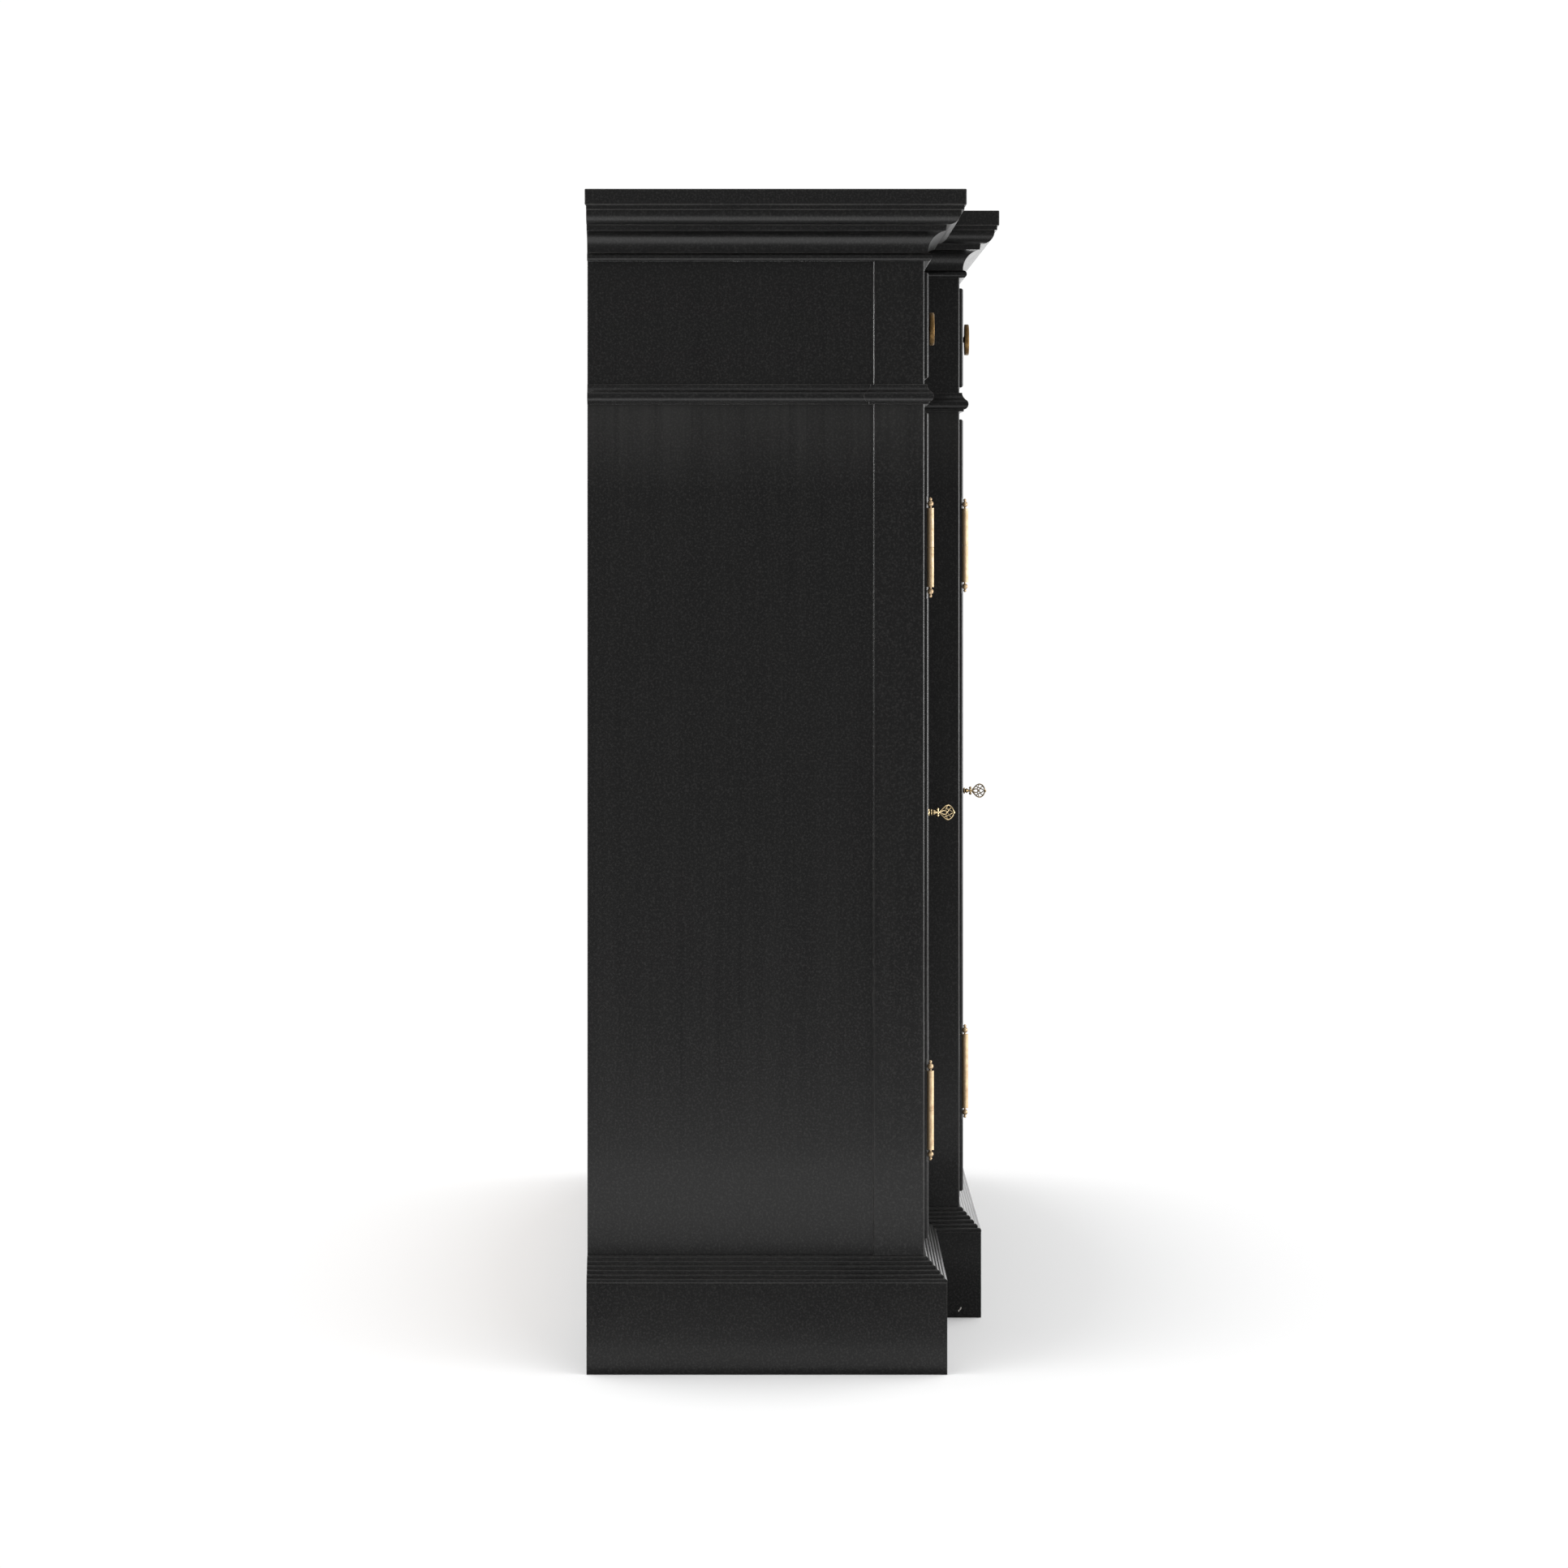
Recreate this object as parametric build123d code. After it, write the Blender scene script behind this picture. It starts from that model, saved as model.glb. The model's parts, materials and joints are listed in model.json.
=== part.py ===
"""Breakfront apothecary cabinet: a painted case with four panelled doors under five drawers.

Millimetres. The front faces -Y, +X is to the right as seen from the front, and Z is up.
The origin is on the floor, under the middle of the cabinet's overall box.
Depths are measured forward from the case's back face, and y_at() turns a depth into Y.
"""

import os

from build123d import *

# Overall sizes of the case
overall_height = 1320
side_width = 450  # outer face of a corner post to the outer face of the centre post beside it
center_width = 1008  # outer face to outer face of the two centre posts
side_depth = 377  # case back to the front face of a corner post
breakfront = 54  # how far the centre section stands forward of the side sections

# Heights of the bands, from the floor up and from the top down
plinth_height = 102
bottom_rail_height = 38
waist_rail_height = 34.5
drawer_opening_height = 123.5
top_rail_height = 69

# Boards
top_thickness = 18
top_overhang = 46
top_back_overhang = 1.5
panel_thickness = 18  # side panels, partitions, bottoms and dividers
panel_recess = 6  # side panel behind the face of the corner post
back_thickness = 6
frame_thickness = 22  # rails and stiles of the front frame
post_width = 45
post_depth = 57
post_lap = 3  # centre post behind the face of the side sections
post_round = 2
inner_stile_width = 25
muntin_width = 24
plinth_projection = 25
bearer_width = 30

# Mouldings
lip_out = 43.5
lip_height = 5
ovolo_out = 40.5
ovolo_height = 16
fillet_out = 24.5
fillet_quirk = 1  # fillet set back from the ovolo, and again at its foot
fillet_height = 6.5
cove_out = 4.2
cove_height = 24
cove_bulge = 6
ovolo_bulge = 5
bead_height = 9
bead_bulge = 4.4
waist_height = 22.4
waist_nose = 10.5
waist_lift = 6.6  # moulding above the underside of the waist rail
waist_step = 3.2
waist_step_height = 1.6
waist_foot = 5
waist_foot_height = 2.6
waist_quirk = 1.5
waist_bend_height = 13
waist_nose_height = 8
waist_hollow = 1
base_height = 27
base_reeds = 6
reed_bulge = 2

# Doors
front_thickness = 22
front_proud = 6  # doors and drawer fronts in front of the posts
front_round = 3
gap = 2  # above and below doors, round drawers
hinge_gap = 3.2
lock_gap = 2.5
door_stile = 57
door_rail = 64
door_panel = 8
door_groove = 8
field_margin = 26
field_height = 5
field_bevel = 16
panel_set_back = 11  # panel face behind the face of the door

# Hinges
hinge_length = 89
hinge_radius = 4
hinge_forward = 2  # pin axis in front of the face of the door
hinge_from_bottom = 145
hinge_from_top = 152
pin_radius = 2
pin_short = 9  # pin stops this far below the top of the barrel
pin_clearance = 0.05
leaf_thickness = 1.5
leaf_depth = 17
knuckle_gap = 0.3
knuckle_relief = 0.35
finial_neck = 2.2
finial_ball = 3.5
finial_tip = 1.9
finial_sink = 0.8  # share of each ball's radius that stands clear of what it sits on
finial_waist = 1.3

# Locks and keys
lock_below_middle = 3.2  # keyhole below the middle of the door
key_inset = 27
lock_width = 40
lock_drop = 20
lock_rise = 28
lock_thickness = 14
lock_floor = 2
key_chamber = 8
bit_reach = 6.5
bit_thickness = 2.5
bit_length = 5
shaft_radius = 2.4
shaft_hole = 3
bolt_height = 10
bolt_thickness = 5
bolt_length = 26
bolt_rise = 15
bolt_throw = 8
bolt_clearance = 0.4
bolt_space = 2  # room behind the bolt, and past its throw in the frame
strike_thickness = 1.5
strike_height = 40
strike_width = 14
escutcheon_radius = 9
escutcheon_thickness = 1.2
center_key_projection = 44
side_key_projection = 41.2
bow_length = 19
bow_height = 18.6
bow_thickness = 3
bow_hole = 1.7
bow_hole_spread = 4.4
lug_radius = 1.8
lug_bar_radius = 1.3
lug_spread = 4.4
lug_from_tip = 21
bell_length = 6.5
bell_radius = 3.2
bell_throat = 1.9
collar_radius = 4
large_collar_radius = 4.65
collar_length = 3
large_collar_length = 3.6
bow_sink = 2  # neck runs this far into the bow

# Drawers
drawer_side = 12
drawer_bottom = 6
drawer_running = 1  # clearance under the sides and to each guide
drawer_back_space = 20
drawer_headroom = 14
bottom_lift = 8
kicker_width = 40
kicker_space = 2
guide_height = 60
knob_above_middle = 2
knob_radius = 19
knob_thickness = 5.6
knob_cone = 0.6
knob_back_radius = 17.5
knob_rim_round = 1
knob_standoff = 6
knob_stem = 3
stud_radius = 2
stud_length = 15

# Inside
shelf_thickness = 20
shelf_setback = 20
shelf_play = 1
shelf_round = 2
pin_length = 12
pin_depth = 8
shelf_pin_radius = 3
pin_inset = 40
catch_width = 40
catch_depth = 20
catch_height = 15
catch_gap = 0.4
keeper_thickness = 2
keeper_margin = 5
keeper_drop = 1  # below the top edge of the door
catch_from_center = 30

# Planes that follow from the sizes
side_x = side_width + center_width / 2
center_x = center_width / 2
center_depth = side_depth + breakfront
center_post_depth = breakfront + post_lap
case_top = overall_height - top_thickness
cornice_height = lip_height + ovolo_height + fillet_height + cove_height + bead_height
drawer_top = case_top - top_rail_height
drawer_floor = drawer_top - drawer_opening_height
door_top = drawer_floor - waist_rail_height
door_floor = plinth_height + bottom_rail_height
door_middle_z = (door_floor + door_top) / 2
lock_z = door_middle_z - lock_below_middle
center_key_reach = center_depth + front_proud + center_key_projection
side_key_reach = side_depth + front_proud + side_key_projection
key_reach = max(center_key_reach, side_key_reach)
overall_depth = top_back_overhang + max(center_depth + top_overhang, key_reach)
back_y = overall_depth / 2 - top_back_overhang
panel_x = side_x - panel_recess


def y_at(depth):
    """Y of a plane that lies this far forward of the case's back face."""
    return back_y - depth


def block(x0, x1, d0, d1, z0, z1):
    """A box between two X planes, two depths and two heights."""
    middle = Pos((x0 + x1) / 2, y_at((d0 + d1) / 2), (z0 + z1) / 2)
    return middle * Box(abs(x1 - x0), abs(d1 - d0), abs(z1 - z0))


def rod(radius, x, depth, z, start, length, axis="Z"):
    """A cylinder that begins at start along its axis and runs for length."""
    if axis == "Z":
        return Pos(x, y_at(depth), start + length / 2) * Cylinder(radius, length)
    if axis == "X":
        return Pos(start + length / 2, y_at(depth), z) * Rot(Y=90) * Cylinder(radius, length)
    return Pos(x, y_at(start + length / 2), z) * Rot(X=90) * Cylinder(radius, length)


def mirrored(shape):
    """The same piece on the other side of the cabinet."""
    return mirror(shape, about=Plane.YZ)


def pair(shape):
    """A piece and its mirror image."""
    return [shape, mirrored(shape)]


def write_node(name, *shapes):
    """Writes one sub-part, which may be a group of separate solids."""
    solids = [solid for shape in shapes for solid in shape.solids()]
    whole = solids[0] if len(solids) == 1 else Compound(children=solids)
    export_step(whole, f"parts/{name}.step")


# Mouldings that follow the front of the case


def plan_line(out=0, back=0, break_at_posts=False):
    """Corners of the case in plan, from the back right round the front to the back left."""
    corners = [(side_x + out, back)]
    if break_at_posts:
        post_back = side_depth - post_depth
        corners = [(panel_x, back), (panel_x, post_back), (side_x, post_back)]
    corners += [(side_x + out, side_depth + out), (center_x + out, side_depth + out)]
    corners += [(center_x + out, center_depth + out)]
    right_half = [Vector(x, y_at(depth)) for x, depth in corners]
    left_half = [Vector(-corner.X, corner.Y) for corner in reversed(right_half)]
    return right_half + left_half


def outward(start, end):
    """The direction that faces away from the case, across one run of a plan line."""
    along = (end - start).normalized()
    return Vector(-along.Y, along.X)


def moulding_runs(path, profile, z):
    """Straight runs of one profile along the path, mitred where they meet."""
    reach = profile.bounding_box().max.X + 1
    runs = []
    for i in range(len(path) - 1):
        start = path[i]
        end = path[i + 1]
        along = (end - start).normalized()
        out = outward(start, end)
        before = outward(path[i - 1], start) if i > 0 else Vector(0, 0)
        after = outward(end, path[i + 2]) if i + 2 < len(path) else Vector(0, 0)
        far_end = end + (out + after) * reach
        far_start = start + (out + before) * reach
        section = Plane(origin=start - along * reach + Vector(0, 0, z), x_dir=out, z_dir=along)
        bar = extrude(section * profile, amount=(end - start).length + 2 * reach)
        plan = make_face(Polyline(start, end, far_end, far_start, close=True))
        wedge = extrude(plan, amount=overall_height)
        runs.append(bar & wedge)
    return runs


def cornice_profile():
    """Lip, ovolo, fillet, cove and bead, from the top down, out from the face of the posts."""
    z_lip = cornice_height - lip_height
    z_ovolo = z_lip - ovolo_height
    z_fillet = z_ovolo - fillet_height
    z_cove = z_fillet - cove_height
    ovolo_foot = (fillet_out + fillet_quirk, z_ovolo)
    fillet_foot = (fillet_out - fillet_quirk, z_fillet)
    lip = Polyline((0, cornice_height), (lip_out, cornice_height), (lip_out, z_lip), (ovolo_out, z_lip))
    ovolo = SagittaArc((ovolo_out, z_lip), ovolo_foot, ovolo_bulge)
    fillet_line = Polyline(ovolo_foot, (fillet_out, z_ovolo), fillet_foot)
    cove = SagittaArc(fillet_foot, (cove_out, z_cove), -cove_bulge)
    bead = SagittaArc((cove_out, z_cove), (cove_out, 0), bead_bulge)
    back = Polyline((cove_out, 0), (0, 0), (0, cornice_height))
    return make_face(lip + ovolo + fillet_line + cove + bead + back)


def waist_profile():
    """A small step, an ogee out to the nose and a rounded return to the foot."""
    z_step = waist_height - waist_step_height
    bend = (waist_nose - waist_quirk, waist_bend_height)
    nose_foot = (waist_foot + waist_quirk, waist_foot_height)
    step = Polyline((0, waist_height), (waist_step, waist_height), (waist_step, z_step))
    hollow = SagittaArc((waist_step, z_step), bend, -waist_hollow)
    nose = ThreePointArc(bend, (waist_nose, waist_nose_height), nose_foot)
    foot = Polyline(nose_foot, (waist_foot, waist_foot_height), (waist_foot, 0), (0, 0), (0, waist_height))
    return make_face(step + hollow + nose + foot)


def base_profile():
    """Reeds that step out at about 45 degrees from the posts to the edge of the plinth."""
    lines = Polyline((plinth_projection, 0), (0, 0), (0, base_height))
    for i in range(base_reeds):
        share = i / base_reeds
        next_share = (i + 1) / base_reeds
        upper = (plinth_projection * share, base_height * (1 - share))
        lower = (plinth_projection * next_share, base_height * (1 - next_share))
        lines += SagittaArc(upper, lower, reed_bulge)
    return make_face(lines)


def rectangle_profile(width, height):
    """A plain board, standing out from the posts by its thickness."""
    return make_face(Polyline((0, 0), (width, 0), (width, height), (0, height), close=True))


# The case


def corner_post():
    """Left corner post, from the floor to the top board, with its two outer edges rounded."""
    post = block(-side_x, -side_x + post_width, side_depth - post_depth, side_depth, 0, case_top)
    return fillet(post.edges().filter_by(Axis.Z).group_by(Axis.X)[0], post_round)


def center_post():
    """Left centre post. Its outer face returns to the side section."""
    back = center_depth - center_post_depth
    post = block(-center_x, -center_x + post_width, back, center_depth, 0, case_top)
    outer_edges = post.edges().filter_by(Axis.Z).group_by(Axis.X)[0]
    return fillet(outer_edges.sort_by(Axis.Y)[0], post_round)


def shelf_pins(x0, x1, depth, z):
    """Four pins that carry one shelf between two upright boards."""
    pins = []
    for pin_at in (pin_inset, depth - pin_inset):
        for wall, side in ((x0, 1), (x1, -1)):
            start = wall - pin_depth if side > 0 else wall - pin_length
            pins.append(rod(shelf_pin_radius, 0, pin_at, z, start, pin_depth + pin_length, "X"))
    return pins


side_inner_x = panel_x - panel_thickness  # inner face of a side panel
side_opening_outer = side_x - post_width  # edge of a side opening at the corner post
side_opening_inner = center_x + inner_stile_width  # edge of a side opening at the inner stile
center_inner_x = center_x - panel_thickness  # inner face of a partition
center_opening = center_x - post_width  # half of the centre opening
drawer_module = (2 * center_opening + muntin_width) / 3
muntin_x = drawer_module / 2
side_shelf_depth = side_depth - post_depth - shelf_setback
center_shelf_depth = center_depth - center_post_depth - shelf_setback

left_post = corner_post()
left_center_post = center_post()
posts = [*pair(left_post), *pair(left_center_post)]

shelf_z = door_middle_z
pin_z = shelf_z - shelf_pin_radius
left_pins = shelf_pins(-side_inner_x, -center_x, side_shelf_depth, pin_z)
center_pins = shelf_pins(-center_inner_x, center_inner_x, center_shelf_depth, pin_z)
all_pins = left_pins + [mirrored(pin) for pin in left_pins] + center_pins


def without(shape, cutters):
    """The shape with every cutter taken out of it."""
    for cutter in cutters:
        shape = shape - cutter
    return shape


def level_board(x0, x1, front, z0, z1):
    """A horizontal board from the back panel to a depth, notched round the posts it meets."""
    return without(block(x0, x1, back_thickness, front, z0, z1), posts)


def section_boards(z0, z1):
    """The left, centre and right boards of one level, behind the front rails."""
    side_front = side_depth - frame_thickness
    left = level_board(-side_inner_x, -center_x, side_front, z0, z1)
    center_front = center_depth - frame_thickness
    middle = level_board(-center_inner_x, center_inner_x, center_front, z0, z1)
    return [left, middle, mirrored(left)]


def section_rails(z0, z1):
    """The front rails of one level in the three sections."""
    side_back = side_depth - frame_thickness
    center_back = center_depth - frame_thickness
    left = block(-side_opening_outer, -side_opening_inner, side_back, side_depth, z0, z1)
    middle = block(-center_opening, center_opening, center_back, center_depth, z0, z1)
    return [left, middle, mirrored(left)]


def shelf(x0, x1, depth):
    """A loose shelf that rests on its pins."""
    back = back_thickness + shelf_play
    board = block(x0 + shelf_play, x1 - shelf_play, back, depth, shelf_z, shelf_z + shelf_thickness)
    return fillet(board.edges().filter_by(Axis.X).sort_by(Axis.Y)[:2], shelf_round)


# Hinges


def finial(x, depth, z, up):
    """A ball on a neck, with a small ball at its tip."""
    ball_z = z + up * (finial_neck + finial_ball * finial_sink)
    tip_z = ball_z + up * (finial_ball + finial_tip * finial_sink)
    neck = Pos(x, y_at(depth), (z + tip_z) / 2) * Cylinder(finial_waist, abs(tip_z - z))
    ball = Pos(x, y_at(depth), ball_z) * Sphere(finial_ball)
    tip = Pos(x, y_at(depth), tip_z) * Sphere(finial_tip)
    return neck + ball + tip


def hinge_halves(axis_x, door_side, face_depth, z):
    """The frame half, the door half and the space that the barrel takes from the door.

    door_side is +1 where the door lies towards +X from the pin.
    """
    axis_depth = face_depth + hinge_forward
    half = hinge_length / 2
    bottom = z - half
    far = door_side * (hinge_gap / 2)
    near = far - door_side * leaf_thickness
    leaf_back = face_depth - leaf_depth
    knuckle = half - knuckle_gap / 2
    relief = hinge_radius + knuckle_relief
    upper_space = rod(relief, axis_x, axis_depth, 0, z - knuckle_gap, half + 2 * knuckle_gap)
    lower_space = rod(relief, axis_x, axis_depth, 0, bottom - knuckle_gap, half + 2 * knuckle_gap)
    frame_leaf = block(axis_x - far, axis_x - near, leaf_back, axis_depth, bottom, z + half) - upper_space
    door_leaf = block(axis_x + near, axis_x + far, leaf_back, axis_depth, bottom, z + half) - lower_space
    frame_half = frame_leaf + rod(hinge_radius, axis_x, axis_depth, 0, bottom, knuckle)
    frame_half += rod(pin_radius, axis_x, axis_depth, 0, bottom, hinge_length - pin_short)
    frame_half += finial(axis_x, axis_depth, bottom, -1)
    door_half = door_leaf + rod(hinge_radius, axis_x, axis_depth, 0, z + half - knuckle, knuckle)
    door_half += finial(axis_x, axis_depth, z + half, 1)
    pin_hole = half - pin_short + 2 * pin_radius
    door_half -= rod(pin_radius + pin_clearance, axis_x, axis_depth, 0, z - knuckle_gap, pin_hole)
    reach = half + finial_neck + 2 * (finial_ball + finial_tip)
    barrel_space = rod(relief, axis_x, axis_depth, 0, z - reach, 2 * reach)
    return frame_half, door_half, barrel_space


# Locks


def lock_set(edge_x, shoot, face_depth, key_projection):
    """Lock, bolt, key, strike plate and the pockets for them, at the free edge of a door.

    shoot is +1 where the bolt leaves the door towards +X, and the key stands key_projection off its face.
    """
    key_x = edge_x - shoot * key_inset
    back = face_depth - front_thickness
    front = back + lock_thickness
    bolt_z = lock_z + bolt_rise
    bolt_middle = back + lock_thickness / 2
    bolt_near = bolt_middle - bolt_thickness / 2
    bolt_far = bolt_middle + bolt_thickness / 2
    bolt_low = bolt_z - bolt_height / 2
    bolt_high = bolt_z + bolt_height / 2
    case = block(edge_x - shoot * lock_width, edge_x, back, front, lock_z - lock_drop, lock_z + lock_rise)
    channel_end = edge_x - shoot * (bolt_length + bolt_space)
    channel_depths = (bolt_near - bolt_clearance, bolt_far + bolt_clearance)
    channel_heights = (bolt_low - bolt_clearance, bolt_high + bolt_clearance)
    channel = block(channel_end, edge_x, *channel_depths, *channel_heights)
    chamber = rod(key_chamber, key_x, 0, lock_z, back + lock_floor, lock_thickness, "Y")
    lock_body = case - channel - chamber
    escutcheon = rod(escutcheon_radius, key_x, 0, lock_z, face_depth, escutcheon_thickness, "Y")
    escutcheon -= rod(shaft_hole, key_x, 0, lock_z, face_depth - 1, escutcheon_thickness + 2, "Y")
    escutcheon = fillet(escutcheon.edges().sort_by(Axis.Y)[0], escutcheon_thickness / 2)
    bolt = block(edge_x - shoot * bolt_length, edge_x, bolt_near, bolt_far, bolt_low, bolt_high)
    key_way = rod(shaft_hole, key_x, 0, lock_z, back, front_thickness + 1, "Y")
    strike_edge = edge_x + shoot * lock_gap
    strike_end = strike_edge + shoot * strike_thickness
    strike = block(
        strike_edge, strike_end, bolt_middle - strike_width / 2, bolt_middle + strike_width / 2,
        bolt_z - strike_height / 2, bolt_z + strike_height / 2,
    )
    mortise_end = edge_x + shoot * (bolt_throw + bolt_space)
    mortise = block(strike_edge, mortise_end, *channel_depths, *channel_heights)
    return {
        "lock": [lock_body, escutcheon],
        "bolt": bolt,
        "key": cabinet_key(key_x, face_depth + key_projection, bolt_middle),
        "door_pockets": [case, key_way],
        "frame_pockets": [strike, mortise],
        "strike": strike - mortise,
    }


def cabinet_key(x, tip, bit_depth):
    """A key with a pierced oval bow, lugs, a bell, two collars, a shaft and a bit."""
    bow_middle = tip - bow_length / 2
    bell_back = tip - lug_from_tip - bell_length
    oval = Plane(origin=(x, y_at(bow_middle), lock_z), x_dir=(0, 1, 0), z_dir=(1, 0, 0))
    outline = Ellipse(bow_length / 2, bow_height / 2)
    holes = [Pos(u, v) * Circle(bow_hole) for u, v in hole_centres()]
    bow = extrude(oval * without(outline, holes), amount=bow_thickness / 2, both=True)
    neck_end = tip - bow_length + bow_sink
    neck = rod(bow_thickness / 2, x, 0, lock_z, bell_back, neck_end - bell_back, "Y")
    lug_y = y_at(tip - lug_from_tip)
    upper_lug = Pos(x, lug_y, lock_z + lug_spread) * Sphere(lug_radius)
    lower_lug = Pos(x, lug_y, lock_z - lug_spread) * Sphere(lug_radius)
    lug_bar = rod(lug_bar_radius, x, tip - lug_from_tip, 0, lock_z - lug_spread, 2 * lug_spread)
    bell_at = Pos(x, y_at(bell_back + bell_length / 2), lock_z) * Rot(X=-90)
    bell = bell_at * Cone(bell_throat, bell_radius, bell_length)
    collar = rod(collar_radius, x, 0, lock_z, bell_back - collar_length, collar_length, "Y")
    large_back = bell_back - collar_length - large_collar_length
    large_collar = rod(large_collar_radius, x, 0, lock_z, large_back, large_collar_length, "Y")
    shaft_start = bit_depth - bit_length / 2
    shaft = rod(shaft_radius, x, 0, lock_z, shaft_start, bell_back - shaft_start, "Y")
    bit_side = bit_thickness / 2
    bit_end = shaft_start + bit_length
    bit = block(x - bit_side, x + bit_side, shaft_start, bit_end, lock_z - bit_reach, lock_z)
    grip = bow + neck + upper_lug + lower_lug + lug_bar
    return grip + bell + collar + large_collar + shaft + bit


def hole_centres():
    """Places of the four piercings of a bow, as a cross round its middle."""
    spread = bow_hole_spread
    return [(spread, 0), (-spread, 0), (0, spread), (0, -spread)]


# Doors


def door_frame(x0, x1, face_depth):
    """Two stiles and two rails, cut from one blank with a rounded front edge, and grooved for the panel."""
    z0 = door_floor + gap
    z1 = door_top - gap
    back = face_depth - front_thickness
    blank = block(x0, x1, back, face_depth, z0, z1)
    blank = fillet(blank.faces().sort_by(Axis.Y)[0].edges(), front_round)
    groove = panel_blank(x0, x1, face_depth)
    stiles = [
        block(x0, x0 + door_stile, back, face_depth, z0, z1),
        block(x1 - door_stile, x1, back, face_depth, z0, z1),
    ]
    rails = [
        block(x0 + door_stile, x1 - door_stile, back, face_depth, z0, z0 + door_rail),
        block(x0 + door_stile, x1 - door_stile, back, face_depth, z1 - door_rail, z1),
    ]
    return [(piece & blank) - groove for piece in stiles + rails]


def panel_blank(x0, x1, face_depth):
    """The board that lies in the grooves of a door frame."""
    front = face_depth - panel_set_back
    inset = door_stile - door_groove
    return block(
        x0 + inset, x1 - inset, front - door_panel, front,
        door_floor + gap + door_rail - door_groove, door_top - gap - door_rail + door_groove,
    )


def door_panel_board(x0, x1, face_depth):
    """The panel, with a raised and bevelled field."""
    front = face_depth - panel_set_back
    width = x1 - x0 - 2 * (door_stile + field_margin)
    height = door_top - door_floor - 2 * (gap + door_rail + field_margin)
    centre = ((x0 + x1) / 2, y_at(front), door_middle_z)
    middle = Plane(origin=centre, x_dir=(1, 0, 0), z_dir=(0, -1, 0))
    base = middle * Rectangle(width, height)
    top = middle.offset(field_height) * Rectangle(width - 2 * field_bevel, height - 2 * field_bevel)
    field = loft([base.face(), top.face()])
    return panel_blank(x0, x1, face_depth) + field


def build_door(name, x0, x1, face_depth, hinge_side, pockets):
    """Writes a door's frame, panel and hinge halves, and returns the halves that stay on the case.

    hinge_side is -1 where the hinges are on the door's left edge.
    """
    axis_x = (x0 if hinge_side < 0 else x1) + hinge_side * hinge_gap / 2
    frame_halves = []
    door_halves = []
    cutters = list(pockets)
    for z in (door_floor + gap + hinge_from_bottom, door_top - gap - hinge_from_top):
        frame_half, door_half, space = hinge_halves(axis_x, -hinge_side, face_depth, z)
        frame_halves.append(frame_half)
        door_halves.append(door_half)
        cutters.append(space)
    write_node(f"{name}_frame", *[without(piece, cutters) for piece in door_frame(x0, x1, face_depth)])
    write_node(f"{name}_panel", door_panel_board(x0, x1, face_depth))
    write_node(f"{name}_hinge_leaves", *door_halves)
    return frame_halves


# Drawers


def knob(x, face_depth, z):
    """A flat disc with a slightly conical back, on a stem and a stud."""
    disc_back = face_depth + knob_standoff
    rim = rod(knob_radius, x, 0, z, disc_back + knob_cone, knob_thickness - knob_cone, "Y")
    rim = fillet(rim.edges().sort_by(Axis.Y)[0], knob_rim_round)
    cone_at = Pos(x, y_at(disc_back + knob_cone / 2), z) * Rot(X=90)
    cone = cone_at * Cone(knob_back_radius, knob_radius, knob_cone)
    stem = rod(knob_stem, x, 0, z, face_depth, knob_standoff + 1, "Y")
    stud = rod(stud_radius, x, 0, z, face_depth - stud_length, stud_length + 1, "Y")
    return rim + cone + stem + stud


def build_drawer(name, x0, x1, case_front):
    """Writes a drawer's front, box and knob for the opening between x0 and x1."""
    face = case_front + front_proud
    back = face - front_thickness
    z0 = drawer_floor + gap
    z1 = drawer_top - gap
    x_middle = (x0 + x1) / 2
    z_knob = (z0 + z1) / 2 + knob_above_middle
    front = block(x0 + gap, x1 - gap, back, face, z0, z1)
    front = fillet(front.faces().sort_by(Axis.Y)[0].edges(), front_round)
    front -= rod(stud_radius, x_middle, 0, z_knob, face - stud_length, stud_length + 1, "Y")
    box_back = back_thickness + drawer_back_space
    left = x0 + drawer_running
    right = x1 - drawer_running
    floor = drawer_floor + drawer_running
    rim = drawer_top - drawer_headroom
    sides = [
        block(left, left + drawer_side, box_back, back, floor, rim),
        block(right - drawer_side, right, box_back, back, floor, rim),
    ]
    rear = block(left + drawer_side, right - drawer_side, box_back, box_back + drawer_side, floor, rim)
    base_z = floor + bottom_lift
    base_back = box_back + drawer_side
    base = block(left + drawer_side, right - drawer_side, base_back, back, base_z, base_z + drawer_bottom)
    write_node(f"{name}_front", front)
    write_node(f"{name}_box", *sides, rear, base)
    write_node(f"{name}_knob", knob(x_middle, face, z_knob))


def guide_strips():
    """Guides beside the drawers and kickers above them, behind the front frame."""
    rear = back_thickness
    side_back = side_depth - post_depth
    side_rail_back = side_depth - frame_thickness
    center_post_back = center_depth - center_post_depth
    center_rail_back = center_depth - frame_thickness
    heights = (drawer_floor, drawer_floor + guide_height)
    muntin_side = muntin_width / 2
    left = [
        block(-side_inner_x, -side_opening_outer, rear, side_back, *heights),
        block(-side_opening_inner, -center_x, rear, side_rail_back, *heights),
        block(-center_inner_x, -center_opening, rear, center_post_back, *heights),
        block(-muntin_x - muntin_side, -muntin_x + muntin_side, rear, center_rail_back, *heights),
    ]
    kicker_floor = drawer_top - drawer_headroom + kicker_space
    kicker_heights = (kicker_floor, kicker_floor + panel_thickness)
    half = kicker_width / 2
    side_middle = (side_opening_outer + side_opening_inner) / 2
    side_kicker = block(-side_middle - half, -side_middle + half, rear, side_rail_back, *kicker_heights)
    left.append(side_kicker)
    for x in (-drawer_module, 0):
        left.append(block(x - half, x + half, rear, center_rail_back, *kicker_heights))
    middle_kicker = left.pop()
    return left + [mirrored(piece) for piece in left] + [middle_kicker]


# Writing the pieces

os.makedirs("parts", exist_ok=True)

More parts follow.
